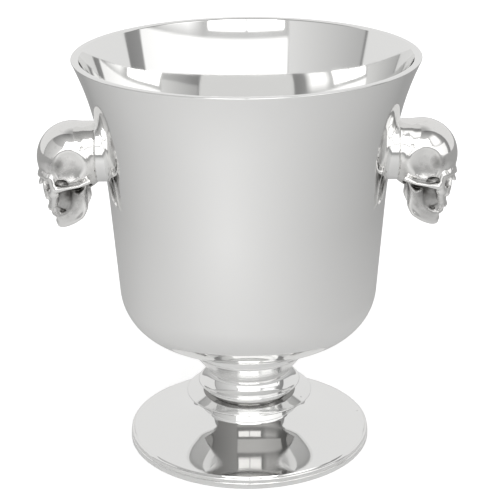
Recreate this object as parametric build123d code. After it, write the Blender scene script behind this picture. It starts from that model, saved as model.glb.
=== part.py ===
from build123d import *

"""Champagne bucket on a turned pedestal foot, with a cast skull as the handle at each side.

Millimetres, +Z up. The origin is on the bucket's axis, in the plane that the foot ring stands on.
The pedestal is a stack of turned pieces that one stud draws up against a boss under the bowl.
Each handle is a casting on a collar, held through the bowl's wall by a stud and a dome nut.
"""

from math import asin, cos, degrees, radians, sin, sqrt
import os

# ---- driving sizes ---------------------------------------------------------------------------
# bowl
BOWL_HEIGHT = 211.0          # from the seat on the stem to the rim
BELLY_RADIUS = 88.8          # outside, where the bottom corner meets the side
BOWL_WALL = 4.5
BOTTOM_RADIUS = 198.5        # radius of the domed bottom, outside
CORNER_RADIUS = 36.0         # radius of the bottom corner, outside
SIDE_LEAN = 4.2              # degrees that the side leans out from upright
FLARE_LEAN = 12.0            # lean where the flare tightens
RIM_LEAN = 25.0              # lean of the wall at the rim
LOWER_FLARE_RADIUS = 443.0
UPPER_FLARE_RADIUS = 190.0
LIP_ROUND = 1.1              # rounding of the rim's two edges
SEAT_HEIGHT = 4.8            # round seat under the bowl, at its middle
SEAT_STEP = 0.4              # seat's side set in from the collar's flange
SEAT_FILLET = 4.0
BOSS_RADIUS = 12.0           # boss under the seat that takes the tie stud
BOSS_LENGTH = 14.0

# stem
WAIST_RADIUS = 29.6          # narrowest place of the stem, at the foot of the collar
COLLAR_HEIGHT = 16.8
COLLAR_SWEEP = 7.0           # radius of the collar's sweep above the waist
COLLAR_SPREAD = 38.0         # lean of the collar's side above the sweep, degrees from upright
COLLAR_FLANGE = 0.9          # thickness of the flange that meets the bowl
COLLAR_GROOVES = 5
GROOVE_RADIUS = 0.3
UPPER_DISC_RADIUS = 35.9
UPPER_DISC_EDGE = 1.6        # thickness of the disc at its edge
UPPER_DISC_TAPER = 7.0       # height of the taper between the disc's edge and the waist
UPPER_NECK_RADIUS = 32.4     # short neck under the upper disc
UPPER_NECK_HEIGHT = 3.2
LOWER_DISC_RADIUS = 44.2
LOWER_DISC_EDGE = 1.3
LOWER_DISC_TAPER = 3.8
LOWER_DISC_RELIEF = 0.9      # the disc's underside rises this much towards its edge
SPIGOT_RADIUS = 18.0         # registers that keep the stack on one axis
SPIGOT_LENGTH = 2.0

# foot
FOOT_HEIGHT = 32.4           # from the table to the top of the foot's neck
FOOT_NECK_RADIUS = 33.2
FOOT_NECK_LENGTH = 8.5
FOOT_UPPER_SWEEP = 3.0       # radius of the sweep below the neck
FOOT_UPPER_SLOPE = 46.0      # slope in degrees where the upper sweep ends
FOOT_MIDDLE_SWEEP = 33.0
FOOT_MIDDLE_SLOPE = 18.0
FOOT_RIM_SLOPE = 0.0         # slope of the dish at its rim
FOOT_DISH_RADIUS = 82.8
FOOT_RIM_RADIUS = 84.6       # the bead round the dish
FOOT_RIM_HEIGHT = 3.2
FOOT_RIM_ROUND = 1.2
FOOT_WALL = 2.6
FOOT_TOP_PLATE = 5.0         # plate that the tie nut pulls on
FOOT_REGISTER = 1.5          # depth of the foot's register inside the ring
RING_RADIUS = 85.0           # foot ring that stands on the table
RING_INNER_RADIUS = 74.0
RING_HEIGHT = 4.2
RING_TOP_ROUND = 0.7
RING_FOOT_ROUND = 0.6

# tie stud and its nut
STUD_RADIUS = 4.0
STUD_THREAD_DEPTH = 11.0     # length of stud screwed into the boss
DRILL_POINT = 1.0            # hole left beyond a stud's end
WASHER_RADIUS = 12.0
WASHER_THICKNESS = 1.6
SPRING_WASHER_RADIUS = 7.4
SPRING_WASHER_THICKNESS = 2.0
SPRING_WASHER_GAP = 1.5
NUT_ACROSS_FLATS = 13.0
NUT_HEIGHT = 6.5
STUD_TAIL = 3.0              # stud showing below the nut

# handles
HANDLE_DROP = 65.5           # handle's axis below the rim
HANDLE_COLLAR_RADIUS = 21.4
HANDLE_COLLAR_LENGTH = 3.6   # collar's thickness at its middle
HANDLE_COLLAR_ROUND = 0.9
NECK_RADIUS = 19.8
NECK_LENGTH = 14.0
CRANIUM_SIZE = (49.0, 48.0, 48.4)      # length, breadth and height
CRANIUM_PLACE = (16.4, -4.0)           # centre, from the neck's root and the handle's axis
FACE_SIZE = (35.0, 39.0, 29.0)
FACE_PLACE = (24.5, -22.3)
MUZZLE_SIZE = (27.0, 23.0, 25.0)
MUZZLE_PLACE = (23.2, -33.2)
JAW_SIZE = (20.0, 32.0, 22.0)
JAW_PLACE = (21.0, -42.0)
HANDLE_STUD_RADIUS = 3.0
HANDLE_THREAD_DEPTH = 12.0
SEAL_RADIUS = 8.5
SEAL_THICKNESS = 2.6         # at its middle, where its wall side is curved
HANDLE_WASHER_RADIUS = 7.5
HANDLE_WASHER_THICKNESS = 1.6
DOME_NUT_ACROSS_FLATS = 10.0
DOME_NUT_HEX_HEIGHT = 5.0
DOME_NUT_RADIUS = 4.6        # radius of the dome
DOWEL_RADIUS = 1.5
DOWEL_OFFSET = 12.0          # dowel above the handle's axis
DOWEL_WALL_DEPTH = 2.0
DOWEL_NECK_DEPTH = 4.0

# fits
LOCATING_CLEARANCE = 0.1     # radial, registers and studs in their plain holes
DEPTH_CLEARANCE = 0.3        # left at the bottom of a register or a dowel hole

# ---- places that follow from the sizes ---------------------------------------------------------
lower_disc_z = FOOT_HEIGHT
lower_disc_height = LOWER_DISC_RELIEF + LOWER_DISC_EDGE + LOWER_DISC_TAPER
upper_disc_z = lower_disc_z + lower_disc_height
collar_z = upper_disc_z + UPPER_NECK_HEIGHT + UPPER_DISC_EDGE + UPPER_DISC_TAPER
bowl_z = collar_z + COLLAR_HEIGHT
rim_z = bowl_z + BOWL_HEIGHT
handle_z = rim_z - HANDLE_DROP

side_lean, flare_lean, rim_lean = radians(SIDE_LEAN), radians(FLARE_LEAN), radians(RIM_LEAN)
corner_run = BELLY_RADIUS - CORNER_RADIUS * cos(side_lean)
corner_slope = asin(corner_run / (BOTTOM_RADIUS - CORNER_RADIUS))
bottom_rise = BOTTOM_RADIUS * (1 - cos(corner_slope))
corner_rise = CORNER_RADIUS * (cos(corner_slope) - sin(side_lean))
lower_flare_rise = LOWER_FLARE_RADIUS * (sin(flare_lean) - sin(side_lean))
upper_flare_rise = UPPER_FLARE_RADIUS * (sin(rim_lean) - sin(flare_lean))
bottom_z = bowl_z + SEAT_HEIGHT
side_rise = BOWL_HEIGHT - SEAT_HEIGHT - bottom_rise - corner_rise - lower_flare_rise - upper_flare_rise
flare_z = rim_z - upper_flare_rise - lower_flare_rise
flare_radius = BELLY_RADIUS + side_rise * sin(side_lean) / cos(side_lean)


# ---- common turning ----------------------------------------------------------------------------
def revolved(*edges):
    """A solid turned about the bucket's axis from the closed outline of some edges."""
    return revolve(Plane.XZ * make_face(Wire(list(edges))), Axis.Z)


def turned(*points):
    """A solid turned about the bucket's axis from corner points of radius and height."""
    return revolve(Plane.XZ * make_face(Polyline(*points, close=True)), Axis.Z)


def pillar(radius, low, high):
    """An upright cylinder on the bucket's axis."""
    return Pos(0, 0, low) * Cylinder(radius, high - low, align=(Align.CENTER, Align.CENTER, Align.MIN))


def edges_at(solid, radius, height):
    """The round edges of a turned solid at one radius and height."""
    found = []
    for edge in solid.edges().filter_by(GeomType.CIRCLE):
        centre = edge.arc_center
        if abs(centre.Z - height) < 1e-4 and abs(edge.radius - radius) < 1e-4:
            found.append(edge)
    return found


# ---- bowl --------------------------------------------------------------------------------------
def bowl_skin(inset):
    """The bowl filled to beyond its rim, its skin set in from the outer face by a distance."""
    bottom = JernArc((0, bottom_z + inset), (1, 0), BOTTOM_RADIUS - inset, degrees(corner_slope))
    corner = JernArc(bottom @ 1, bottom % 1, CORNER_RADIUS - inset, 90 - SIDE_LEAN - degrees(corner_slope))
    side = Line(corner @ 1, corner @ 1 + (corner % 1) * (side_rise / cos(side_lean)))
    lower = JernArc(side @ 1, side % 1, LOWER_FLARE_RADIUS + inset, SIDE_LEAN - FLARE_LEAN)
    upper = JernArc(lower @ 1, lower % 1, UPPER_FLARE_RADIUS + inset, FLARE_LEAN - RIM_LEAN)
    spare = Line(upper @ 1, upper @ 1 + (upper % 1) * 2 * BOWL_WALL)
    across = Line(spare @ 1, (0, (spare @ 1).Y))
    axis = Line(across @ 1, bottom @ 0)
    return revolved(bottom, corner, side, lower, upper, spare, across, axis)


def flare_radius_at(height, inset):
    """Radius of the bowl's skin at a height in the lower flare."""
    arc = LOWER_FLARE_RADIUS + inset
    lean = asin(sin(side_lean) + (height - flare_z - inset * sin(side_lean)) / arc)
    return flare_radius - inset * cos(side_lean) + arc * (cos(side_lean) - cos(lean))


bowl_outside = bowl_skin(0)
bowl_inside = bowl_skin(BOWL_WALL)
wall_x = flare_radius_at(handle_z, 0)
inner_wall_x = flare_radius_at(handle_z, BOWL_WALL)

collar_waist = (WAIST_RADIUS, collar_z)
collar_sweep = JernArc(collar_waist, (0, 1), COLLAR_SWEEP, -COLLAR_SPREAD)
flange_z = bowl_z - COLLAR_FLANGE
spread_rise = flange_z - (collar_sweep @ 1).Y
spread_run = spread_rise * sin(radians(COLLAR_SPREAD)) / cos(radians(COLLAR_SPREAD))
flange_radius = (collar_sweep @ 1).X + spread_run

seat_radius = flange_radius - SEAT_STEP
seat_rise = BOTTOM_RADIUS - sqrt(BOTTOM_RADIUS**2 - seat_radius**2)
seat_edge_z = bottom_z + seat_rise
seat = pillar(seat_radius, bowl_z, seat_edge_z + BOWL_WALL / 2)
bowl = bowl_outside + seat
bowl = fillet(bowl.edges().filter_by_position(Axis.Z, seat_edge_z - 0.01, seat_edge_z + 0.01), SEAT_FILLET)
boss = pillar(BOSS_RADIUS, bowl_z - BOSS_LENGTH, bowl_z + BOWL_WALL / 2)
boss_hole = pillar(STUD_RADIUS, bowl_z - BOSS_LENGTH, bowl_z - BOSS_LENGTH + STUD_THREAD_DEPTH + DRILL_POINT)
above_rim = pillar(2 * BELLY_RADIUS, rim_z, rim_z + BOWL_HEIGHT)
bowl = bowl + boss - bowl_inside - boss_hole - above_rim
lip_edges = [edge for edge in bowl.edges().filter_by(GeomType.CIRCLE) if abs(edge.arc_center.Z - rim_z) < 1e-4]
bowl = fillet(lip_edges, LIP_ROUND)

# ---- stem --------------------------------------------------------------------------------------
clearance_hole = STUD_RADIUS + LOCATING_CLEARANCE
socket_radius = SPIGOT_RADIUS + LOCATING_CLEARANCE
socket_depth = SPIGOT_LENGTH + DEPTH_CLEARANCE


def socket(height):
    """The recess in the underside of a piece of the stack, which the spigot below it enters."""
    return pillar(socket_radius, height, height + socket_depth)


def spigot(height):
    """The short register on top of a piece of the stack."""
    return pillar(SPIGOT_RADIUS, height, height + SPIGOT_LENGTH)


stem_collar = revolved(
    collar_sweep, Line(collar_sweep @ 1, (flange_radius, flange_z)),
    Line((flange_radius, flange_z), (flange_radius, bowl_z)), Line((flange_radius, bowl_z), (0, bowl_z)),
    Line((0, bowl_z), (0, collar_z)), Line((0, collar_z), collar_waist))
stem_collar -= pillar(BOSS_RADIUS + LOCATING_CLEARANCE, collar_z, bowl_z) + socket(collar_z)
for index in range(COLLAR_GROOVES):
    share = (index + 1) / (COLLAR_GROOVES + 1)
    groove_radius = (collar_sweep @ 1).X + share * spread_run
    stem_collar -= Pos(0, 0, (collar_sweep @ 1).Y + share * spread_rise) * Torus(groove_radius, GROOVE_RADIUS)

upper_edge_z = upper_disc_z + UPPER_NECK_HEIGHT
upper_lip_z = upper_edge_z + UPPER_DISC_EDGE
upper_disc = turned(
    (0, upper_disc_z), (UPPER_NECK_RADIUS, upper_disc_z), (UPPER_NECK_RADIUS, upper_edge_z),
    (UPPER_DISC_RADIUS, upper_edge_z), (UPPER_DISC_RADIUS, upper_lip_z), (WAIST_RADIUS, collar_z), (0, collar_z))
upper_disc += spigot(collar_z)
upper_disc -= socket(upper_disc_z) + pillar(clearance_hole, upper_disc_z, bowl_z)

lower_edge_z = lower_disc_z + LOWER_DISC_RELIEF
lower_disc = turned(
    (0, lower_disc_z), (FOOT_NECK_RADIUS, lower_disc_z), (LOWER_DISC_RADIUS, lower_edge_z),
    (LOWER_DISC_RADIUS, lower_edge_z + LOWER_DISC_EDGE), (UPPER_NECK_RADIUS, upper_disc_z), (0, upper_disc_z))
lower_disc += spigot(upper_disc_z)
lower_disc -= socket(lower_disc_z) + pillar(clearance_hole, lower_disc_z, bowl_z)


# ---- foot --------------------------------------------------------------------------------------
def foot_skin(inset, low):
    """The foot filled in down to a height, its sweep set in from the outer face by a distance."""
    neck_radius = FOOT_NECK_RADIUS - inset
    neck = Line((neck_radius, FOOT_HEIGHT), (neck_radius, FOOT_HEIGHT - FOOT_NECK_LENGTH))
    upper = JernArc(neck @ 1, (0, -1), FOOT_UPPER_SWEEP + inset, 90 - FOOT_UPPER_SLOPE)
    middle = JernArc(upper @ 1, upper % 1, FOOT_MIDDLE_SWEEP + inset, FOOT_UPPER_SLOPE - FOOT_MIDDLE_SLOPE)
    bend = sin(radians(FOOT_MIDDLE_SLOPE)) - sin(radians(FOOT_RIM_SLOPE))
    dish_sweep = (FOOT_DISH_RADIUS - (middle @ 1).X) / bend
    dish = JernArc(middle @ 1, middle % 1, dish_sweep, FOOT_MIDDLE_SLOPE - FOOT_RIM_SLOPE)
    edge = Line(dish @ 1, (FOOT_DISH_RADIUS, low))
    under = Line(edge @ 1, (0, low))
    axis = Line(under @ 1, (0, FOOT_HEIGHT))
    across = Line(axis @ 1, neck @ 0)
    return revolved(neck, upper, middle, dish, edge, under, axis, across)


ring_seat_radius = (RING_INNER_RADIUS + FOOT_DISH_RADIUS) / 2
foot = foot_skin(0, RING_HEIGHT)
rim_bead = pillar(FOOT_RIM_RADIUS, RING_HEIGHT, RING_HEIGHT + FOOT_RIM_HEIGHT)
rim_bead -= pillar(FOOT_DISH_RADIUS, RING_HEIGHT, RING_HEIGHT + FOOT_RIM_HEIGHT)
foot += fillet(edges_at(rim_bead, FOOT_RIM_RADIUS, RING_HEIGHT + FOOT_RIM_HEIGHT), FOOT_RIM_ROUND)
foot += pillar(ring_seat_radius, RING_HEIGHT - FOOT_REGISTER, RING_HEIGHT)
plate_z = FOOT_HEIGHT - FOOT_TOP_PLATE
hollow = foot_skin(FOOT_WALL, 0) & pillar(RING_INNER_RADIUS, 0, plate_z)
foot = foot - hollow + spigot(FOOT_HEIGHT)
foot -= pillar(clearance_hole, plate_z, FOOT_HEIGHT + SPIGOT_LENGTH)

foot_ring = pillar(RING_RADIUS, 0, RING_HEIGHT) - pillar(RING_INNER_RADIUS, 0, RING_HEIGHT)
foot_ring -= pillar(ring_seat_radius + LOCATING_CLEARANCE,
                    RING_HEIGHT - FOOT_REGISTER - DEPTH_CLEARANCE, RING_HEIGHT)
foot_ring = fillet(edges_at(foot_ring, RING_RADIUS, RING_HEIGHT), RING_TOP_ROUND)
foot_ring = fillet(edges_at(foot_ring, RING_RADIUS, 0), RING_FOOT_ROUND)

# ---- tie stud and nut --------------------------------------------------------------------------
washer_z = plate_z - WASHER_THICKNESS
spring_z = washer_z - SPRING_WASHER_THICKNESS
nut_z = spring_z - NUT_HEIGHT
stud_top = bowl_z - BOSS_LENGTH + STUD_THREAD_DEPTH
tie_stud = pillar(STUD_RADIUS, nut_z - STUD_TAIL, stud_top)
tie_washer = pillar(WASHER_RADIUS, washer_z, plate_z) - pillar(clearance_hole, washer_z, plate_z)
tie_spring_washer = pillar(SPRING_WASHER_RADIUS, spring_z, washer_z) - pillar(clearance_hole, spring_z, washer_z)
spring_gap = Box(SPRING_WASHER_RADIUS, SPRING_WASHER_GAP, SPRING_WASHER_THICKNESS,
                 align=(Align.MIN, Align.CENTER, Align.MIN))
tie_spring_washer -= Pos(0, 0, spring_z) * spring_gap


def hexagon(across_flats, height):
    """A hexagonal prism standing on the XY plane."""
    return extrude(RegularPolygon(across_flats / 2, 6, major_radius=False), height)


tie_nut = Pos(0, 0, nut_z) * hexagon(NUT_ACROSS_FLATS, NUT_HEIGHT) - pillar(STUD_RADIUS, nut_z, spring_z)

# ---- handles -----------------------------------------------------------------------------------
collar_face_x = wall_x + HANDLE_COLLAR_LENGTH
seal_face_x = inner_wall_x - SEAL_THICKNESS
washer_face_x = seal_face_x - HANDLE_WASHER_THICKNESS
handle_hole = HANDLE_STUD_RADIUS + LOCATING_CLEARANCE


def rod(radius, near, far, rise=0.0):
    """A cylinder along X between two distances from the bucket's axis, at the handle's height."""
    upright = Cylinder(radius, far - near, align=(Align.CENTER, Align.CENTER, Align.MIN))
    return Pos(near, 0, handle_z + rise) * Rot(0, 90, 0) * upright


def ellipsoid(size, place):
    """An ellipsoid of a full size, centred out from the neck's root and up from the handle's axis."""
    halves = tuple(length / 2 for length in size)
    return Pos(collar_face_x + place[0], 0, handle_z + place[1]) * scale(Sphere(1), by=halves)


stud_far = collar_face_x + HANDLE_THREAD_DEPTH
stud_near = washer_face_x - DOME_NUT_HEX_HEIGHT
dowel_wall_x = flare_radius_at(handle_z + DOWEL_OFFSET, 0)
dowel_near = dowel_wall_x - DOWEL_WALL_DEPTH
dowel_far = collar_face_x + DOWEL_NECK_DEPTH
dowel_hole = rod(DOWEL_RADIUS, dowel_near - DEPTH_CLEARANCE, dowel_far + DEPTH_CLEARANCE, DOWEL_OFFSET)

handle_collar = rod(HANDLE_COLLAR_RADIUS, 0, collar_face_x)
handle_collar = fillet(handle_collar.edges().filter_by(GeomType.CIRCLE).sort_by(Axis.X)[-1], HANDLE_COLLAR_ROUND)
handle_collar = handle_collar & Box(4 * wall_x, 4 * wall_x, 4 * rim_z, align=(Align.MIN, Align.CENTER, Align.CENTER))
handle_collar = handle_collar - bowl_outside - rod(handle_hole, 0, collar_face_x) - dowel_hole

skull = rod(NECK_RADIUS, collar_face_x, collar_face_x + NECK_LENGTH)
for size, place in ((CRANIUM_SIZE, CRANIUM_PLACE), (FACE_SIZE, FACE_PLACE),
                    (MUZZLE_SIZE, MUZZLE_PLACE), (JAW_SIZE, JAW_PLACE)):
    skull += ellipsoid(size, place)
inboard = Box(2 * collar_face_x, 4 * wall_x, 4 * rim_z, align=(Align.CENTER, Align.CENTER, Align.CENTER))
skull = skull - inboard - rod(HANDLE_STUD_RADIUS, collar_face_x, stud_far + DRILL_POINT) - dowel_hole

handle_stud = rod(HANDLE_STUD_RADIUS, stud_near, stud_far)
handle_pin = rod(DOWEL_RADIUS, dowel_near, dowel_far, DOWEL_OFFSET)
handle_seal = rod(SEAL_RADIUS, seal_face_x, wall_x) & bowl_inside
handle_seal -= rod(handle_hole, seal_face_x, wall_x)
handle_washer = rod(HANDLE_WASHER_RADIUS, washer_face_x, seal_face_x)
handle_washer -= rod(handle_hole, washer_face_x, seal_face_x)
dome_x = washer_face_x - DOME_NUT_HEX_HEIGHT
dome_nut = Pos(dome_x, 0, handle_z) * Rot(0, 90, 0) * hexagon(DOME_NUT_ACROSS_FLATS, DOME_NUT_HEX_HEIGHT)
dome_nut += Pos(dome_x, 0, handle_z) * Sphere(DOME_NUT_RADIUS)
dome_nut -= rod(HANDLE_STUD_RADIUS, dome_x, washer_face_x + HANDLE_WASHER_THICKNESS)

right_hole = rod(handle_hole, 0, wall_x + HANDLE_COLLAR_LENGTH) + dowel_hole
bowl = bowl - right_hole - mirror(right_hole, Plane.YZ)

# ---- the parts ---------------------------------------------------------------------------------
parts = {
    "bowl": bowl,
    "stem_collar": stem_collar,
    "upper_disc": upper_disc,
    "lower_disc": lower_disc,
    "foot": foot,
    "foot_ring": foot_ring,
    "tie_stud": tie_stud,
    "tie_washer": tie_washer,
    "tie_spring_washer": tie_spring_washer,
    "tie_nut": tie_nut,
}
handle_pieces = {
    "skull": skull,
    "collar": handle_collar,
    "stud": handle_stud,
    "pin": handle_pin,
    "seal": handle_seal,
    "washer": handle_washer,
    "nut": dome_nut,
}
for piece_name, piece in handle_pieces.items():
    parts["handle_right_" + piece_name] = piece
    parts["handle_left_" + piece_name] = mirror(piece, Plane.YZ)

os.makedirs("parts", exist_ok=True)
for name, part in parts.items():
    export_step(part, os.path.join("parts", name + ".step"))
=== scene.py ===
from math import asin, cos, pi, radians, sin, sqrt

import bpy
from mathutils import Matrix, Vector


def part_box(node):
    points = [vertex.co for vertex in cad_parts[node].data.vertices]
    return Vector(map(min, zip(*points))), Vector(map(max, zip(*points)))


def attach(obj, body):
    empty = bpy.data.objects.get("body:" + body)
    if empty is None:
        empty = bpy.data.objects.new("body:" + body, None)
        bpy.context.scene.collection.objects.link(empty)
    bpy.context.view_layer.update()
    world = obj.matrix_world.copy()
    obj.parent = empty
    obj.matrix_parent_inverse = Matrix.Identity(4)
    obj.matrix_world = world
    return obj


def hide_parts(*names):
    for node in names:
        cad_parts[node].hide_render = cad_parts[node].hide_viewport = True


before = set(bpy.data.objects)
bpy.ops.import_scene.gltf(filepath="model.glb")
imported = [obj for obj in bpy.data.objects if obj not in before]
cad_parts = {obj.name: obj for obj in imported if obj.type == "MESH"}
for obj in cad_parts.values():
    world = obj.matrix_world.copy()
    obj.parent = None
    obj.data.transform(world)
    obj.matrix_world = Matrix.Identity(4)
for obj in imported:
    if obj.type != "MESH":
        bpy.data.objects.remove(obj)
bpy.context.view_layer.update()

# ---- foot ring -------------------------------------------------------------------------------
# The plain ring that the whole bucket stands on. It is turned from cast aluminium and polished,
# with its edges rounded, and the foot sits on its flat top.
MM = 0.001
AROUND = 288                       # segments round a large turned piece


def sweep(start, heading, *runs):
    """Points of radius and height along straight runs and arcs, each meeting the last one smoothly.
    A run is (length, 0, parts), or (radius, turn in degrees, parts) for an arc."""
    radius, height = start
    points = [start]
    angle = radians(heading)
    for size, bend, parts in runs:
        step = radians(bend) / parts
        chord = size / parts if bend == 0 else 2 * size * sin(abs(step) / 2)
        for _ in range(parts):
            angle += step / 2
            radius += chord * cos(angle)
            height += chord * sin(angle)
            angle += step / 2
            points.append((radius, height))
    return points


def turn(name, outline, around=AROUND):
    """Turns a closed outline of radius and height about the bucket's axis, with all its faces outwards."""
    bpy.ops.object.select_all(action="DESELECT")
    bpy.ops.mesh.primitive_plane_add(size=MM)
    piece = bpy.context.active_object
    piece.name = name
    bpy.ops.object.mode_set(mode="EDIT")
    bpy.ops.mesh.merge(type="CENTER")
    bpy.ops.transform.translate(value=(outline[0][0], 0, outline[0][1]))
    stops = outline + [outline[0]]
    for here, there in zip(stops, stops[1:]):
        step = (there[0] - here[0], 0, there[1] - here[1])
        bpy.ops.mesh.extrude_vertices_move(TRANSFORM_OT_translate={"value": step})
    bpy.ops.mesh.select_all(action="SELECT")
    bpy.ops.mesh.remove_doubles(threshold=0.001 * MM)
    bpy.ops.mesh.spin(steps=around, angle=2 * pi, center=(0, 0, 0), axis=(0, 0, 1))
    bpy.ops.mesh.select_all(action="SELECT")
    bpy.ops.mesh.remove_doubles(threshold=0.001 * MM)
    bpy.ops.mesh.normals_make_consistent(inside=False)
    bpy.ops.object.mode_set(mode="OBJECT")
    bpy.ops.object.shade_smooth_by_angle(angle=radians(30))
    return piece


def noise(tree, scale, detail, vector, place):
    """A noise texture in a node tree, read at a vector."""
    node = tree.nodes.new("ShaderNodeTexNoise")
    node.location = place
    node.inputs["Scale"].default_value = scale
    node.inputs["Detail"].default_value = detail
    tree.links.new(vector, node.inputs["Vector"])
    return node.outputs["Fac"]


def reckon(tree, operation, *values):
    """A math node in a node tree, each of its values a number or another node's output."""
    node = tree.nodes.new("ShaderNodeMath")
    node.operation = operation
    for socket, value in zip(node.inputs, values):
        if isinstance(value, (int, float)):
            socket.default_value = value
        else:
            tree.links.new(value, socket)
    return node.outputs[0]


def spread(tree, value, low, high, new_low, new_high):
    """A map-range node that spreads a value between two limits over two new ones."""
    node = tree.nodes.new("ShaderNodeMapRange")
    tree.links.new(value, node.inputs["Value"])
    for socket, number in zip(list(node.inputs)[1:5], (low, high, new_low, new_high)):
        node.inputs[socket.name].default_value = number
    return node.outputs[0]


def new_group(name, inputs, outputs):
    """An empty shader node group with number inputs and outputs, and its two end nodes."""
    group = bpy.data.node_groups.new(name, "ShaderNodeTree")
    for label, value in inputs:
        group.interface.new_socket(label, in_out="INPUT", socket_type="NodeSocketFloat").default_value = value
    for label in outputs:
        group.interface.new_socket(label, in_out="OUTPUT", socket_type="NodeSocketFloat")
    return group, group.nodes.new("NodeGroupInput"), group.nodes.new("NodeGroupOutput")


# Fine rings left by the lathe and the polishing wheel: they depend only on radius and height.
lathe_marks, marks_in, marks_out = new_group("lathe_marks", (("Lines per mm", 1.0),), ("Height",))
marks_place = lathe_marks.nodes.new("ShaderNodeTexCoord").outputs["Object"]
marks_split = lathe_marks.nodes.new("ShaderNodeSeparateXYZ")
lathe_marks.links.new(marks_place, marks_split.inputs[0])
marks_square = reckon(lathe_marks, "ADD", reckon(lathe_marks, "POWER", marks_split.outputs["X"], 2.0),
                    reckon(lathe_marks, "POWER", marks_split.outputs["Y"], 2.0))
marks_radius = reckon(lathe_marks, "SQRT", marks_square)
marks_section = lathe_marks.nodes.new("ShaderNodeCombineXYZ")
marks_scale = reckon(lathe_marks, "MULTIPLY", marks_in.outputs[0], 1 / MM)
marks_across = reckon(lathe_marks, "MULTIPLY", marks_radius, marks_scale)
marks_up = reckon(lathe_marks, "MULTIPLY", marks_split.outputs["Z"], marks_scale)
lathe_marks.links.new(marks_across, marks_section.inputs["X"])
lathe_marks.links.new(marks_up, marks_section.inputs["Y"])
marks_noise = noise(lathe_marks, 1.0, 3.0, marks_section.outputs[0], (0, 0))
lathe_marks.links.new(marks_noise, marks_out.inputs["Height"])

# Small pits of a casting: a scatter of dots, of which only a share shows.
cast_pits, pits_in, pits_out = new_group("cast_pits", (("Pits per mm", 0.3), ("Share", 0.5)), ("Mask",))
pits_place = cast_pits.nodes.new("ShaderNodeTexCoord").outputs["Object"]
pits_cells = cast_pits.nodes.new("ShaderNodeTexVoronoi")
cast_pits.links.new(pits_place, pits_cells.inputs["Vector"])
pits_per_metre = reckon(cast_pits, "MULTIPLY", pits_in.outputs["Pits per mm"], 1 / MM)
cast_pits.links.new(pits_per_metre, pits_cells.inputs["Scale"])
pits_dots = spread(cast_pits, pits_cells.outputs["Distance"], 0.05, 0.16, 1, 0)
pits_lot = cast_pits.nodes.new("ShaderNodeSeparateXYZ")
cast_pits.links.new(pits_cells.outputs["Color"], pits_lot.inputs[0])
pits_chosen = reckon(cast_pits, "LESS_THAN", pits_lot.outputs["X"], pits_in.outputs["Share"])
cast_pits.links.new(reckon(cast_pits, "MULTIPLY", pits_dots, pits_chosen), pits_out.inputs["Mask"])


def polished_metal(name, tone, roughness, lines, line_depth, pits, pit_share, wave_depth):
    """Polished cast aluminium: its tone, gloss, lathe lines, pits and the gentle waves of hand polishing."""
    metal = bpy.data.materials.new(name)
    metal.use_nodes = True
    tree = metal.node_tree
    shader = tree.nodes["Principled BSDF"]
    shader.inputs["Metallic"].default_value = 1
    place = tree.nodes.new("ShaderNodeTexCoord").outputs["Object"]
    marks = tree.nodes.new("ShaderNodeGroup")
    marks.node_tree = lathe_marks
    marks.inputs["Lines per mm"].default_value = lines
    dots = tree.nodes.new("ShaderNodeGroup")
    dots.node_tree = cast_pits
    dots.inputs["Pits per mm"].default_value = pits
    dots.inputs["Share"].default_value = pit_share
    haze = noise(tree, 45, 4, place, (-600, 0))
    colour = tree.nodes.new("ShaderNodeMix")
    colour.data_type = "RGBA"
    colour.inputs["A"].default_value = (*tone, 1)
    colour.inputs["B"].default_value = (0.16, 0.155, 0.15, 1)
    tree.links.new(reckon(tree, "MULTIPLY", dots.outputs["Mask"], 0.75), colour.inputs["Factor"])
    tree.links.new(colour.outputs["Result"], shader.inputs["Base Color"])
    gloss = spread(tree, haze, 0.3, 0.7, roughness * 0.75, roughness * 1.3)
    gloss = reckon(tree, "ADD", gloss, reckon(tree, "MULTIPLY", dots.outputs["Mask"], 0.3))
    tree.links.new(gloss, shader.inputs["Roughness"])
    waves = reckon(tree, "MULTIPLY", noise(tree, 16, 1, place, (-600, -200)), wave_depth)
    height = reckon(tree, "ADD", waves, reckon(tree, "MULTIPLY", marks.outputs["Height"], line_depth))
    height = reckon(tree, "SUBTRACT", height, reckon(tree, "MULTIPLY", dots.outputs["Mask"], 0.08))
    bump = tree.nodes.new("ShaderNodeBump")
    bump.inputs["Strength"].default_value = 1
    bump.inputs["Distance"].default_value = MM
    tree.links.new(height, bump.inputs["Height"])
    tree.links.new(bump.outputs["Normal"], shader.inputs["Normal"])
    return metal


ring_radius, ring_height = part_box("foot_ring")[1][0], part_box("foot_ring")[1][2]
RING_INNER = 74.0 * MM
RING_TOP_ROUND = 0.7 * MM
RING_FOOT_ROUND = 0.6 * MM
ring_outline = [(RING_INNER, 0)]
ring_outline += sweep((ring_radius - RING_FOOT_ROUND, 0), 0, (RING_FOOT_ROUND, 90, 5))
ring_outline += sweep((ring_radius, ring_height - RING_TOP_ROUND), 90, (RING_TOP_ROUND, 90, 6))
ring_outline += [(RING_INNER, ring_height)]
foot_ring = turn("foot_ring_turned", ring_outline)
foot_metal = polished_metal("polished_foot", (0.90, 0.90, 0.895), 0.045, 1.1, 0.004, 0.14, 0.03, 0.010)
foot_ring.data.materials.append(foot_metal)
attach(foot_ring, "root")
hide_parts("foot_ring")

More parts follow.
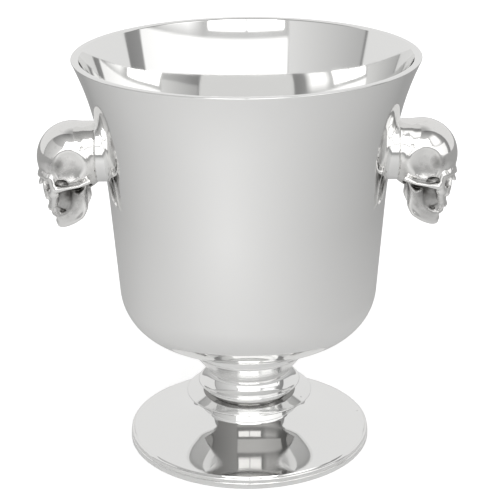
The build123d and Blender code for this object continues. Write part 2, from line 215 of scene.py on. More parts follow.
# ---- foot ------------------------------------------------------------------------------------
# The wide dished foot, a hollow aluminium casting turned to a mirror: an upright neck, a tight
# sweep, a dish that runs out flat, and a bead round its rim with a thin groove inside it.
foot_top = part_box("lower_disc")[0][2]
NECK_RADIUS = 33.2 * MM
NECK_LENGTH = 8.5 * MM
NECK_SWEEP, NECK_TURN = 3.0 * MM, 44
MIDDLE_SWEEP, MIDDLE_TURN = 33.0 * MM, 28
DISH_TURN = 18
DISH_RADIUS = 82.4 * MM
RIM_RADIUS = 84.6 * MM
RIM_HEIGHT = 3.2 * MM
RIM_ROUND = 1.2 * MM
FOOT_WALL = 2.6 * MM
upper_face = sweep((NECK_RADIUS, foot_top), -90, (NECK_LENGTH, 0, 6), (NECK_SWEEP, NECK_TURN, 12),
                   (MIDDLE_SWEEP, MIDDLE_TURN, 18))
dish_radius = (DISH_RADIUS - upper_face[-1][0]) / sin(radians(DISH_TURN))
upper_face += sweep(upper_face[-1], -DISH_TURN, (dish_radius, DISH_TURN, 26))[1:]
rim_top = ring_height + RIM_HEIGHT
rim_face = [(DISH_RADIUS + 0.35 * MM, upper_face[-1][1] - 0.5 * MM)]
rim_face += sweep((DISH_RADIUS + 0.6 * MM, rim_top - 0.3 * MM), 50, (0.4 * MM, -50, 3))
rim_face += sweep((RIM_RADIUS - RIM_ROUND, rim_top), 0,
                  (RIM_ROUND, -90, 8), (RIM_HEIGHT - RIM_ROUND - 0.3 * MM, 0, 2))
under_face = [(RIM_RADIUS - 0.5 * MM, ring_height), (RING_INNER, ring_height)]
inner_neck = NECK_RADIUS - FOOT_WALL
under_sweep = sweep((inner_neck, foot_top - 5 * MM), -90, (NECK_LENGTH - 5 * MM, 0, 2),
                    (NECK_SWEEP + FOOT_WALL, NECK_TURN, 8), (MIDDLE_SWEEP + FOOT_WALL, MIDDLE_TURN, 10))
under_face += list(reversed(under_sweep))
foot_outline = upper_face + rim_face + under_face + [(0, foot_top - 5 * MM), (0, foot_top)]
foot = turn("foot_dish", foot_outline)
foot.data.materials.append(foot_metal)
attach(foot, "root")
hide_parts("foot")

# ---- lower disc --------------------------------------------------------------------------------
# The larger of the two turned discs that are stacked on the foot. Its top tapers down to a thin
# rounded edge, and its underside is relieved so that the edge throws a dark line.
upper_low, upper_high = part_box("upper_disc")
lower_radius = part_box("lower_disc")[1][0]
LOWER_EDGE = 1.3 * MM
LOWER_RELIEF = 0.9 * MM
UPPER_NECK = 32.4 * MM
upper_disc_z = upper_low[2]
lower_edge_z = foot_top + LOWER_RELIEF
lower_outline = [(0, foot_top), (NECK_RADIUS, foot_top)]
lower_outline += sweep((lower_radius - 0.45 * MM, lower_edge_z), 0, (0.45 * MM, 90, 4))
lower_outline += sweep((lower_radius, lower_edge_z + LOWER_EDGE - 0.5 * MM), 90, (0.5 * MM, 90, 4))
taper_rise = upper_disc_z - lower_edge_z - LOWER_EDGE
for step in range(1, 13):
    share = step / 12
    taper_radius = lower_radius - 0.5 * MM + (UPPER_NECK - lower_radius + 0.5 * MM) * share
    lower_outline.append((taper_radius, lower_edge_z + LOWER_EDGE + taper_rise * share ** 1.25))
lower_outline += [(0, upper_disc_z)]
lower_disc = turn("lower_disc_turned", lower_outline)
disc_metal = polished_metal("polished_discs", (0.89, 0.89, 0.885), 0.05, 2.0, 0.006, 0.25, 0.12, 0.008)
lower_disc.data.materials.append(disc_metal)
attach(lower_disc, "root")
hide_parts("lower_disc")

# painted shade: a dark line painted into the discs' colour in the undercut below each disc's edge, where the
# edge's shadow falls
disc_tree = disc_metal.node_tree
disc_height = disc_tree.nodes.new("ShaderNodeSeparateXYZ")
disc_tree.links.new(disc_tree.nodes.new("ShaderNodeTexCoord").outputs["Object"], disc_height.inputs[0])
PAINTED_SHADE_DARKNESS = 0.70
PAINTED_SHADE_HEIGHTS = (upper_disc_z + 2.9 * MM, lower_edge_z - 0.1 * MM)
PAINTED_SHADE_REACH, PAINTED_SHADE_END = 0.35 * MM, 0.75 * MM
painted_shade_gaps = [reckon(disc_tree, "ABSOLUTE", reckon(disc_tree, "SUBTRACT", disc_height.outputs["Z"], height))
              for height in PAINTED_SHADE_HEIGHTS]
painted_shade_gap = reckon(disc_tree, "MINIMUM", *painted_shade_gaps)
painted_shade_and_pits = spread(disc_tree, painted_shade_gap, PAINTED_SHADE_REACH, PAINTED_SHADE_END, PAINTED_SHADE_DARKNESS, 0)
disc_tone = disc_tree.nodes["Mix"]
# the painted shade under the disc edges is joined with the darkening of the cast pits
painted_shade_and_pits = reckon(disc_tree, "MAXIMUM", painted_shade_and_pits, disc_tone.inputs["Factor"].links[0].from_socket)
disc_tree.links.new(painted_shade_and_pits, disc_tone.inputs["Factor"])

# ---- upper disc --------------------------------------------------------------------------------
# The smaller disc: a short upright neck, a thin edge, a low bead, and a taper up to the waist. It
# is turned from aluminium, polished together with the lower disc, and sits flat on it.
upper_radius = upper_high[0]
collar_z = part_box("stem_collar")[0][2]
WAIST_RADIUS = 29.6 * MM
UPPER_NECK_HEIGHT = 3.2 * MM
UPPER_EDGE = 1.6 * MM
UPPER_BEAD = 0.9 * MM
upper_edge_z = upper_disc_z + UPPER_NECK_HEIGHT
upper_outline = [(0, upper_disc_z), (UPPER_NECK, upper_disc_z), (UPPER_NECK, upper_edge_z)]
upper_outline += sweep((upper_radius - 0.5 * MM, upper_edge_z), 0, (0.5 * MM, 90, 4))
upper_outline += sweep((upper_radius, upper_edge_z + UPPER_EDGE - UPPER_BEAD), 90,
                       (UPPER_BEAD, 75, 6), (1.1 * MM, 0, 2))
taper_start = upper_outline[-1]
for step in range(1, 15):
    share = step / 14
    taper_radius = taper_start[0] + (WAIST_RADIUS - taper_start[0]) * (1 - (1 - share) ** 1.6)
    upper_outline.append((taper_radius, taper_start[1] + (collar_z - taper_start[1]) * share ** 1.1))
upper_outline += [(0, collar_z)]
upper_disc = turn("upper_disc_turned", upper_outline)
upper_disc.data.materials.append(disc_metal)
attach(upper_disc, "root")
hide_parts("upper_disc")

# ---- stem collar -------------------------------------------------------------------------------
# The collar between the stack and the bowl. It spreads from the waist to a thin flange, and it
# keeps the plain lathe lines that the wheel couldn't reach.
bowl_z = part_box("stem_collar")[1][2]
collar_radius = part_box("stem_collar")[1][0]
COLLAR_SWEEP, COLLAR_SPREAD = 7.0 * MM, 38
COLLAR_FLANGE = 0.9 * MM
collar_side = sweep((WAIST_RADIUS, collar_z), 90, (COLLAR_SWEEP, -COLLAR_SPREAD, 12))
flange_z = bowl_z - COLLAR_FLANGE
LATHE_STEPS = 36
side_start = collar_side[-1]
for step in range(1, LATHE_STEPS + 1):
    share = step / LATHE_STEPS
    groove = 0.10 * MM * (0.5 - 0.5 * cos(2 * pi * share * 9))
    collar_side.append((side_start[0] + (collar_radius - side_start[0]) * share - groove,
                        side_start[1] + (flange_z - side_start[1]) * share))
collar_outline = [(0, collar_z)] + collar_side
collar_outline += [(collar_radius, bowl_z - 0.15 * MM), (collar_radius - 0.15 * MM, bowl_z), (0, bowl_z)]
stem_collar = turn("stem_collar_turned", collar_outline)
collar_metal = polished_metal("lathe_finished_collar", (0.86, 0.86, 0.855), 0.10, 1.8, 0.030, 0.2, 0.05, 0.0)
stem_collar.data.materials.append(collar_metal)
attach(stem_collar, "root")
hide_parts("stem_collar")

# ---- bowl --------------------------------------------------------------------------------------
# The bucket itself: one aluminium casting, turned and polished to a mirror inside and out. Its side
# leans out a little, the flare tightens towards the rim, and the lip is flat with rounded edges.
rim_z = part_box("bowl")[1][2]
WALL = 4.5 * MM
SEAT_HEIGHT = 4.8 * MM
SEAT_STEP = 0.4 * MM
SEAT_FILLET = 4.0 * MM
BOTTOM_SWEEP = 198.5 * MM
BELLY_RADIUS = 88.8 * MM
CORNER_SWEEP = 36.0 * MM
SIDE_LEAN, FLARE_LEAN, RIM_LEAN = 4.2, 12.0, 25.0
LOWER_FLARE, UPPER_FLARE = 443.0 * MM, 190.0 * MM
LIP_ROUND = 1.1 * MM


def degrees_of(sine):
    """The angle in degrees that has a sine."""
    return asin(sine) * 180 / pi


def rise_of(radius, low, high):
    """Height that an arc gains between two leans from upright, in degrees."""
    return radius * (sin(radians(high)) - sin(radians(low)))


corner_run = BELLY_RADIUS - CORNER_SWEEP * cos(radians(SIDE_LEAN))
corner_slope = degrees_of(corner_run / (BOTTOM_SWEEP - CORNER_SWEEP))
bottom_rise = BOTTOM_SWEEP * (1 - cos(radians(corner_slope)))
corner_rise = CORNER_SWEEP * (cos(radians(corner_slope)) - sin(radians(SIDE_LEAN)))
flare_rise = rise_of(LOWER_FLARE, SIDE_LEAN, FLARE_LEAN) + rise_of(UPPER_FLARE, FLARE_LEAN, RIM_LEAN)
bottom_z = bowl_z + SEAT_HEIGHT
side_rise = rim_z - bottom_z - bottom_rise - corner_rise - flare_rise
side_length = side_rise / cos(radians(SIDE_LEAN))


def bowl_skin(inset, first_slope, last_lean):
    """The bowl's skin from a slope of its bottom to a lean near its rim, set in from the outer face."""
    bottom = BOTTOM_SWEEP - inset
    start = (bottom * sin(radians(first_slope)), bottom_z + BOTTOM_SWEEP - bottom * cos(radians(first_slope)))
    return sweep(start, first_slope, (bottom, corner_slope - first_slope, 10),
                 (CORNER_SWEEP - inset, 90 - SIDE_LEAN - corner_slope, 30), (side_length, 0, 20),
                 (LOWER_FLARE + inset, SIDE_LEAN - FLARE_LEAN, 20),
                 (UPPER_FLARE + inset, FLARE_LEAN - last_lean, 20))


seat_radius = collar_radius - SEAT_STEP
fillet_radius = seat_radius + SEAT_FILLET
fillet_reach = BOTTOM_SWEEP + SEAT_FILLET
fillet_z = bottom_z + BOTTOM_SWEEP - sqrt(fillet_reach**2 - fillet_radius**2)
seat_slope = degrees_of(fillet_radius / fillet_reach)
outside = sweep((seat_radius, fillet_z), 90, (SEAT_FILLET, seat_slope - 90, 10))[:-1]
outside += bowl_skin(0, seat_slope, RIM_LEAN)
flare_z = rim_z - rise_of(UPPER_FLARE, FLARE_LEAN, RIM_LEAN) + WALL * sin(radians(FLARE_LEAN))
inner_lean = degrees_of(sin(radians(FLARE_LEAN)) + (rim_z - flare_z) / (UPPER_FLARE + WALL))
inside = bowl_skin(WALL, 0, inner_lean)
bowl_outline = [(0, bowl_z), (seat_radius, bowl_z)] + outside + list(reversed(inside))
bowl = turn("bowl_turned", bowl_outline)
bpy.ops.object.mode_set(mode="EDIT")
bpy.ops.mesh.select_all(action="DESELECT")
bpy.ops.mesh.select_mode(type="VERT")
bpy.ops.object.mode_set(mode="OBJECT")
for corner in bowl.data.vertices:
    corner.select = corner.co.z > rim_z - 0.01 * MM
bpy.ops.object.mode_set(mode="EDIT")
bpy.ops.mesh.select_mode(type="EDGE")
bpy.ops.mesh.region_to_loop()
bpy.ops.mesh.bevel(offset=LIP_ROUND, segments=5, profile=0.5)
bpy.ops.mesh.select_mode(type="VERT")
bpy.ops.object.mode_set(mode="OBJECT")
bpy.ops.object.shade_smooth_by_angle(angle=radians(30))
bowl_metal = polished_metal("mirror_bowl", (0.90, 0.90, 0.895), 0.06, 0.5, 0.003, 0.10, 0.0, 0.010)
bowl.data.materials.append(bowl_metal)
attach(bowl, "root")
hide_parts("bowl")

# ---- handle collars ----------------------------------------------------------------------------
# Each handle stands on a turned aluminium collar. Its back is saddled to the curve of the bowl's
# side, and the handle's stud clamps it there.
for side in ("left", "right"):
    collar_name = "handle_" + side + "_collar"
    for material_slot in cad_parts[collar_name].material_slots:
        material_slot.material = disc_metal

# ---- skulls ------------------------------------------------------------------------------------
# The handles are two cast skulls, mirror images, each on a short round neck. The crown is polished;
# the face, the temples and the jaw keep the cast skin, which is darker in its hollows.
skull_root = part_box("handle_right_skull")[0][0]
stud_low, stud_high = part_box("handle_right_stud")
skull_axis = (stud_low[2] + stud_high[2]) / 2
NECK_ROD_RADIUS, NECK_ROD_LENGTH = 19.8, 18.0
BONE_VOXEL, CUTTER_VOXEL = 0.5 * MM, 0.6 * MM
bones = []
hollows = []


def skull_place(point):
    """A place on the right skull from millimetres outwards, sideways and upwards from its neck's root."""
    return (skull_root + point[0] * MM, point[1] * MM, skull_axis + point[2] * MM)


def lump(place, size, lean=0.0, kind=bones):
    """An egg-shaped lump of a full size in mm; one that stands off the middle gets a mirrored twin."""
    for sign in ((1, -1) if place[1] else (1,)):
        bpy.ops.mesh.primitive_uv_sphere_add(segments=40, ring_count=24, radius=0.5 * MM,
                                             location=skull_place((place[0], sign * place[1], place[2])),
                                             rotation=(0, radians(lean), 0), scale=size)
        kind.append(bpy.context.active_object)


def bar(start, end, start_radius, end_radius, kind=bones):
    """A round bar between two places in mm, with a ball at each end, and a mirrored twin."""
    for sign in ((1, -1) if start[1] or end[1] else (1,)):
        near = Vector(skull_place((start[0], sign * start[1], start[2])))
        far = Vector(skull_place((end[0], sign * end[1], end[2])))
        along = far - near
        bpy.ops.mesh.primitive_cone_add(vertices=24, radius1=start_radius * MM, radius2=end_radius * MM,
                                        depth=along.length, location=(near + far) / 2,
                                        rotation=along.to_track_quat("Z", "Y").to_euler())
        kind.append(bpy.context.active_object)
        for centre, radius in ((near, start_radius), (far, end_radius)):
            bpy.ops.mesh.primitive_uv_sphere_add(segments=24, ring_count=12, radius=radius * MM,
                                                 location=centre)
            kind.append(bpy.context.active_object)


def fuse(pieces, name):
    """Joins pieces into one mesh whose places are in the mesh itself."""
    bpy.ops.object.select_all(action="DESELECT")
    for piece in pieces:
        piece.select_set(True)
    bpy.context.view_layer.objects.active = pieces[0]
    bpy.ops.object.join()
    bpy.ops.object.transform_apply(location=True, rotation=True, scale=True)
    pieces[0].name = name
    return pieces[0]


def skin_over(piece, voxel, smoothing, passes):
    """Covers a piece's overlapping lumps with one even skin and softens it."""
    bpy.ops.object.select_all(action="DESELECT")
    piece.select_set(True)
    bpy.context.view_layer.objects.active = piece
    skin = piece.modifiers.new("skin", "REMESH")
    skin.mode = "VOXEL"
    skin.voxel_size = voxel
    bpy.ops.object.modifier_apply(modifier="skin")
    soften = piece.modifiers.new("soften", "SMOOTH")
    soften.factor = smoothing
    soften.iterations = passes
    bpy.ops.object.modifier_apply(modifier="soften")


# brain case and neck
bpy.ops.object.select_all(action="DESELECT")
bpy.ops.mesh.primitive_cylinder_add(vertices=96, radius=NECK_ROD_RADIUS * MM, depth=NECK_ROD_LENGTH * MM,
                                    location=skull_place((NECK_ROD_LENGTH / 2, 0, 0)),
                                    rotation=(0, pi / 2, 0))
bones.append(bpy.context.active_object)
lump((16.4, 0, -4.0), (49.0, 47.6, 48.4))
lump((8.0, 0, -3.4), (30.0, 42.4, 39.6))

# brow, nose and cheekbones
lump((33.0, 0, -12.5), (13.5, 34.0, 12.0))
bar((38.6, 3.2, -15.6), (36.2, 11.5, -14.2), 2.2, 2.3)
bar((36.2, 11.5, -14.2), (30.6, 18.0, -14.4), 2.3, 2.0)
lump((38.2, 0, -15.2), (5.4, 8.0, 6.0))
bar((37.2, 0, -17.5), (39.4, 0, -22.8), 1.9, 1.5)
bar((36.0, 1.6, -18.5), (35.6, 4.4, -26.5), 2.0, 1.6)
bar((35.6, 4.4, -26.5), (34.2, 5.2, -31.5), 1.6, 1.8)
lump((24.0, 0, -25.0), (24.0, 29.0, 24.0))
bar((30.0, 18.2, -13.0), (27.6, 18.4, -21.4), 2.3, 2.9)
bar((28.6, 18.0, -23.4), (34.0, 8.4, -25.2), 2.4, 1.7)
lump((28.4, 16.0, -25.0), (8.0, 8.0, 8.0))
bar((27.8, 16.6, -26.4), (29.2, 11.0, -34.4), 2.3, 2.6)
lump((21.6, 10.2, -31.0), (15.0, 6.6, 15.0))

# upper jaw
lump((26.6, 0, -36.4), (15.6, 20.4, 13.0))
lump((30.0, 0, -31.0), (10.6, 15.0, 10.0))
bar((34.4, 0, -33.6), (36.4, 0, -32.8), 1.3, 0.9)

# lower jaw: one outline in side view, drawn out to its width and narrowed towards the chin
JAW_OUTLINE = ((5.8, -19.0), (7.4, -25.0), (7.2, -31.0), (6.4, -37.0), (9.4, -43.0), (16.5, -48.4),
               (23.0, -51.6), (27.6, -52.0), (29.0, -49.6), (28.2, -46.6), (30.4, -43.0), (24.0, -41.0),
               (19.2, -37.0), (17.4, -30.0), (18.6, -23.5), (12.0, -25.4))
JAW_HALF_WIDTH = 17.0
CHIN_SHARE = 0.50
bpy.ops.object.select_all(action="DESELECT")
bpy.ops.mesh.primitive_plane_add(size=MM)
jaw = bpy.context.active_object
bpy.ops.object.mode_set(mode="EDIT")
bpy.ops.mesh.merge(type="CENTER")
jaw_start = Vector(skull_place((JAW_OUTLINE[0][0], -JAW_HALF_WIDTH, JAW_OUTLINE[0][1])))
bpy.ops.transform.translate(value=jaw_start)
for here, there in zip(JAW_OUTLINE, JAW_OUTLINE[1:]):
    step = ((there[0] - here[0]) * MM, 0, (there[1] - here[1]) * MM)
    bpy.ops.mesh.extrude_vertices_move(TRANSFORM_OT_translate={"value": step})
bpy.ops.mesh.select_all(action="SELECT")
bpy.ops.mesh.edge_face_add()
bpy.ops.mesh.extrude_region_move(TRANSFORM_OT_translate={"value": (0, 2 * JAW_HALF_WIDTH * MM, 0)})
bpy.ops.mesh.select_all(action="SELECT")
bpy.ops.mesh.normals_make_consistent(inside=False)
bpy.ops.mesh.bevel(offset=1.8 * MM, segments=4, profile=0.5)
bpy.ops.object.mode_set(mode="OBJECT")
for corner in jaw.data.vertices:
    forward = (corner.co.x - skull_root) / MM - JAW_OUTLINE[0][0]
    narrowing = max(0.0, min(1.0, (forward - 5) / 19))
    corner.co.y *= 1 + (CHIN_SHARE - 1) * narrowing
bpy.ops.object.mode_set(mode="EDIT")
bpy.ops.mesh.select_all(action="SELECT")
bpy.ops.mesh.normals_make_consistent(inside=False)
bpy.ops.object.mode_set(mode="OBJECT")
bones.append(jaw)
lump((27.0, 0, -49.4), (6.4, 13.0, 6.0))

# teeth, in an upper and a lower row round the arch of the jaws
TEETH = 10
TOOTH_WIDTH, TOOTH_THICKNESS = 2.25, 2.6
for row_place, row_height, arch_out, arch_side in ((-39.6, 4.4, 10.6, 9.4), (-43.6, 3.8, 8.2, 8.4)):
    for tooth in range(TEETH):
        angle = radians(-80 + 160 * (tooth + 0.5) / TEETH)
        place = (23.6 + arch_out * cos(angle), arch_side * sin(angle) + 0.001, row_place)
        bpy.ops.mesh.primitive_uv_sphere_add(segments=16, ring_count=10, radius=0.5 * MM,
                                             location=skull_place(place), rotation=(0, 0, angle),
                                             scale=(TOOTH_THICKNESS, TOOTH_WIDTH, row_height))
        bones.append(bpy.context.active_object)

# hollows: temples, then the gaps behind and below each cheekbone, eye sockets, nose, and under the jaw
temples = []
for place, size in (((13.0, 31.2, -4.4), (34.0, 21.4, 40.0)), ((21.0, 29.6, -8.0), (20.0, 21.6, 40.0)),
                    ((17.0, 29.9, -6.0), (26.0, 21.4, 42.0))):
    lump(place, size, kind=temples)
HOLLOWS = (((22.6, 19.4, -17.6), (9.0, 8.0, 5.6)),
           ((13.6, 21.4, -24.4), (8.8, 13.0, 8.6)), ((34.6, 10.2, -19.8), (20.0, 13.4, 11.4)),
           ((38.0, 0, -28.2), (10.0, 7.6, 10.0)), ((10.0, 0, -43.0), (30.0, 21.0, 30.0)),
           ((6.0, 11.0, -23.0), (6.0, 8.0, 12.0)))
for place, size in HOLLOWS:
    lump(place, size, kind=hollows)

skull = fuse(bones, "skull_right")
skin_over(skull, BONE_VOXEL, 0.5, 5)
for cutters, passes in ((temples, 40), (hollows, 1)):
    cutter = fuse(cutters, "hollow")
    skin_over(cutter, CUTTER_VOXEL, 0.5, passes)
    bpy.ops.object.select_all(action="DESELECT")
    skull.select_set(True)
    bpy.context.view_layer.objects.active = skull
    carve = skull.modifiers.new("carve", "BOOLEAN")
    carve.operation = "DIFFERENCE"
    carve.solver = "EXACT"
    carve.object = cutter
    bpy.ops.object.modifier_apply(modifier="carve")
    bpy.data.objects.remove(cutter)
# the arch of the cheekbone stands free of the temple, so it goes on after the hollows
arch = []
bar((26.6, 18.8, -21.8), (19.0, 21.2, -20.2), 2.5, 1.15, kind=arch)
bar((19.0, 21.2, -20.2), (11.0, 21.7, -18.6), 1.15, 1.05, kind=arch)
bar((11.0, 21.7, -18.6), (4.4, 20.2, -15.8), 1.05, 1.8, kind=arch)
skull = fuse([skull] + arch, "skull_right")
skin_over(skull, BONE_VOXEL, 0.5, 2)
bpy.ops.object.shade_smooth()

bpy.ops.object.mode_set(mode="EDIT")
bpy.ops.mesh.select_all(action="SELECT")
bpy.ops.mesh.bisect(plane_co=(skull_root, 0, 0), plane_no=(1, 0, 0), clear_inner=True, use_fill=True)
bpy.ops.object.mode_set(mode="OBJECT")

# how deep each spot lies under a sheet stretched over the skull: a polishing wheel can't reach deep ones
bpy.ops.object.duplicate()
sheet = bpy.context.active_object
bpy.ops.object.mode_set(mode="EDIT")
bpy.ops.mesh.select_all(action="SELECT")
bpy.ops.mesh.convex_hull()
bpy.ops.object.mode_set(mode="OBJECT")
TEMPLE_SOOT = (25.0, 19.4, -5.0)
CLEAN_DEPTH = 1.2                  # mm under the sheet where the dark patina starts
DARKENING = 6.5                    # mm more until it is at its fullest
WHEEL_FLOOR = 13 * MM              # the wheel polishes down to this far below the handle's axis
patina = skull.data.attributes.new("patina", "FLOAT", "POINT")
crown = skull.vertex_groups.new(name="crown")
for corner, spot in zip(skull.data.vertices, patina.data):
    depth = (sheet.closest_point_on_mesh(corner.co)[1] - corner.co).length / MM
    soot = Vector((corner.co.x, abs(corner.co.y), corner.co.z)) - Vector(skull_place(TEMPLE_SOOT))
    spot.value = max(0.0, min(1.0, (depth - CLEAN_DEPTH) / DARKENING), 0.75 - soot.length / (10 * MM))
    out = (corner.co.x - skull_root) / MM
    wheel_reach = min(1.0, 2.4 - 2 * depth) if out > 15 else min(1.0, 16 - out)
    if corner.co.z > skull_axis - WHEEL_FLOOR and out > 0.3 and wheel_reach > 0:
        crown.add([corner.index], wheel_reach, "REPLACE")
bpy.data.objects.remove(sheet)
bpy.ops.object.select_all(action="DESELECT")
skull.select_set(True)
bpy.context.view_layer.objects.active = skull
polish = skull.modifiers.new("polish", "SMOOTH")
polish.vertex_group = "crown"
polish.factor = 0.5
polish.iterations = 60
bpy.ops.object.modifier_apply(modifier="polish")

skull_metal = bpy.data.materials.new("cast_skull")
skull_metal.use_nodes = True
skull_tree = skull_metal.node_tree
skull_shader = skull_tree.nodes["Principled BSDF"]
skull_shader.inputs["Metallic"].default_value = 1
skull_point = skull_tree.nodes.new("ShaderNodeTexCoord").outputs["Object"]
recess = skull_tree.nodes.new("ShaderNodeAttribute")
recess.attribute_name = "patina"
grain = noise(skull_tree, 900, 3, skull_point, (-600, 0))
mottle = noise(skull_tree, 240, 3, skull_point, (-600, -200))
pores = skull_tree.nodes.new("ShaderNodeGroup")
pores.node_tree = cast_pits
pores.inputs["Pits per mm"].default_value = 0.75
pores.inputs["Share"].default_value = 0.45
depth_of = recess.outputs["Fac"]
pored = reckon(skull_tree, "MULTIPLY", pores.outputs["Mask"], spread(skull_tree, depth_of, 0.02, 0.25, 0, 0.8))
mottled_depth = reckon(skull_tree, "ADD", depth_of, reckon(skull_tree, "MULTIPLY", mottle, 0.5))
darkness = spread(skull_tree, mottled_depth, 0.30, 1.15, 0, 1)
darkness = reckon(skull_tree, "MAXIMUM", darkness, pored)
skull_tone = skull_tree.nodes.new("ShaderNodeMix")
skull_tone.data_type = "RGBA"
skull_tone.inputs["A"].default_value = (0.88, 0.875, 0.865, 1)
skull_tone.inputs["B"].default_value = (0.10, 0.097, 0.092, 1)
skull_tree.links.new(darkness, skull_tone.inputs["Factor"])
skull_tree.links.new(skull_tone.outputs["Result"], skull_shader.inputs["Base Color"])
skull_gloss = spread(skull_tree, depth_of, 0.0, 0.35, 0.09, 0.30)
skull_tree.links.new(skull_gloss, skull_shader.inputs["Roughness"])
skull_height = reckon(skull_tree, "MULTIPLY", grain, spread(skull_tree, depth_of, 0.0, 0.4, 0.0, 0.12))
skull_height = reckon(skull_tree, "SUBTRACT", skull_height, reckon(skull_tree, "MULTIPLY", pored, 0.15))
skull_bump = skull_tree.nodes.new("ShaderNodeBump")
skull_bump.inputs["Distance"].default_value = MM
skull_tree.links.new(skull_height, skull_bump.inputs["Height"])
skull_tree.links.new(skull_bump.outputs["Normal"], skull_shader.inputs["Normal"])
skull.data.materials.append(skull_metal)
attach(skull, "root")
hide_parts("handle_right_skull")

bpy.ops.object.select_all(action="DESELECT")
skull.select_set(True)
bpy.context.view_layer.objects.active = skull
bpy.ops.object.duplicate()
left_skull = bpy.context.active_object
left_skull.name = "skull_left"
bpy.ops.object.mode_set(mode="EDIT")
bpy.ops.mesh.select_all(action="SELECT")
bpy.ops.transform.resize(value=(-1, 1, 1), center_override=(0, 0, 0))
bpy.ops.mesh.normals_make_consistent(inside=False)
bpy.ops.object.mode_set(mode="OBJECT")
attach(left_skull, "root")
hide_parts("handle_left_skull")

# ---- fasteners -----------------------------------------------------------------------------------
# The stud, washers and nut that draw the stem together, and those behind each handle, are plain
# bought steel ones. A rubber seal under each handle's washer keeps the water in the bowl.
steel = polished_metal("fastener_steel", (0.60, 0.60, 0.61), 0.24, 3.0, 0.02, 0.3, 0.1, 0.0)
rubber = bpy.data.materials.new("seal_rubber")
rubber.use_nodes = True
rubber_shader = rubber.node_tree.nodes["Principled BSDF"]
rubber_shader.inputs["Base Color"].default_value = (0.02, 0.02, 0.022, 1)
rubber_shader.inputs["Roughness"].default_value = 0.6
for name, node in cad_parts.items():
    if name.endswith(("stud", "pin", "washer", "nut", "seal")):
        for material_slot in node.material_slots:
            material_slot.material = rubber if name.endswith("seal") else steel

# ---- camera ------------------------------------------------------------------------------------
# A short telephoto lens a metre in front of the bucket, looking down on it a little.
camera_data = bpy.data.cameras.new("camera")
camera = bpy.data.objects.new("camera", camera_data)
bpy.context.scene.collection.objects.link(camera)
camera_data.sensor_width = 36
camera_data.lens = 107.37
camera_data.clip_start = 0.05
camera_data.clip_end = 50
camera.location = (0, -0.9638, 0.5042)
camera_turn = (Matrix.Rotation(radians(-0.08), 3, "Z") @ Matrix.Rotation(radians(90 - 20.73), 3, "X")
               @ Matrix.Rotation(radians(-0.465), 3, "Z"))
camera.rotation_euler = camera_turn.to_euler()
bpy.context.scene.camera = camera

# ---- floor and light ------------------------------------------------------------------------------
# A pale floor whose colour holds a painted pool of light, one wide softbox in two panes behind the camera, and
# an even room around it.
bpy.ops.object.select_all(action="DESELECT")
bpy.ops.mesh.primitive_plane_add(size=30)
floor = bpy.context.active_object
floor.name = "floor"
FLOOR_WHITE = 1.25                 # the floor looks evenly white, though what it throws back fades
floor_paint = bpy.data.materials.new("floor_paint")
floor_paint.use_nodes = True
paint = floor_paint.node_tree
paint_shader = paint.nodes["Principled BSDF"]
paint_shader.inputs["Roughness"].default_value = 0.9
paint_shader.inputs["Specular IOR Level"].default_value = 0.1
paint_shader.inputs["Emission Color"].default_value = (1, 1, 1, 1)
# painted light: the floor's colour is a painted pool of light, bright near a spot in front of the bucket and
# darker a metre away; the metal reflects it, while a glow seen only by the camera evens the floor out to white
painted_pool_distance = paint.nodes.new("ShaderNodeVectorMath")
painted_pool_distance.operation = "DISTANCE"
painted_pool_distance.inputs[1].default_value = (-0.12, -0.45, 0)
paint.links.new(paint.nodes.new("ShaderNodeTexCoord").outputs["Object"], painted_pool_distance.inputs[0])
shade = paint.nodes.new("ShaderNodeCombineColor")
painted_pool_level = spread(paint, painted_pool_distance.outputs["Value"], 0.05, 1.0, 0.98, 0.42)
for channel in shade.inputs:
    paint.links.new(painted_pool_level, channel)
paint.links.new(shade.outputs[0], paint_shader.inputs["Base Color"])
seen = paint.nodes.new("ShaderNodeLightPath").outputs["Is Camera Ray"]
glow = reckon(paint, "MULTIPLY", seen, reckon(paint, "SUBTRACT", FLOOR_WHITE, painted_pool_level))
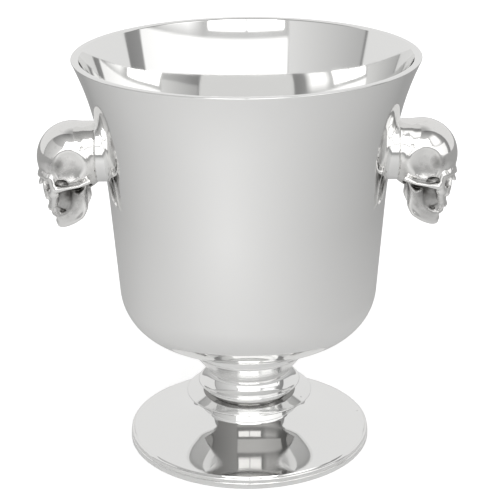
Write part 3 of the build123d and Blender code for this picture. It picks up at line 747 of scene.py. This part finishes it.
paint.links.new(glow, paint_shader.inputs["Emission Strength"])
floor.data.materials.append(floor_paint)

world = bpy.data.worlds.new("studio")
bpy.context.scene.world = world
world.use_nodes = True
room = world.node_tree
direction = room.nodes.new("ShaderNodeSeparateXYZ")
room.links.new(room.nodes.new("ShaderNodeTexCoord").outputs["Generated"], direction.inputs[0])
azimuth = reckon(room, "ARCTAN2", direction.outputs["X"], reckon(room, "MULTIPLY", direction.outputs["Y"], -1.0))
azimuth = reckon(room, "MULTIPLY", azimuth, 180 / pi)
elevation = reckon(room, "MULTIPLY", reckon(room, "ARCSINE", direction.outputs["Z"]), 180 / pi)


def window(low_azimuth, high_azimuth, low_elevation, high_elevation, blur):
    """A mask of one patch of the room, between two azimuths and two elevations, with soft edges."""
    sides = reckon(room, "MULTIPLY", spread(room, azimuth, low_azimuth - blur, low_azimuth + blur, 0, 1),
                 spread(room, azimuth, high_azimuth - blur, high_azimuth + blur, 1, 0))
    ends = reckon(room, "MULTIPLY", spread(room, elevation, low_elevation - blur, low_elevation + blur, 0, 1),
                spread(room, elevation, high_elevation - blur, high_elevation + blur, 1, 0))
    return reckon(room, "MULTIPLY", sides, ends)


aside = reckon(room, "ABSOLUTE", azimuth)
room_level = spread(room, aside, 25, 98, 0.62, 0.26)
room_level = reckon(room, "MAXIMUM", room_level, spread(room, aside, 99, 101, 0.0, 0.80))
room_level = reckon(room, "MULTIPLY", room_level, spread(room, elevation, 62, 80, 1.0, 0.55))
for patch, radiance in ((window(-30, -1, 31, 59, 0.7), 2.2), (window(0.5, 30, 31, 59, 0.7), 2.2),
                        (window(-33, 86, -3, 27, 0.8), 0.75), (window(40, 75, 31, 59, 6.0), 1.0),
                        (window(-98, -34, -3, 40, 0.8), 0.22)):
    room_level = reckon(room, "ADD", room_level, reckon(room, "MULTIPLY", patch, radiance))
room.links.new(room_level, room.nodes["Background"].inputs["Strength"])
room.nodes["Background"].inputs["Color"].default_value = (1, 0.997, 0.99, 1)
bpy.context.scene.view_settings.view_transform = "Standard"
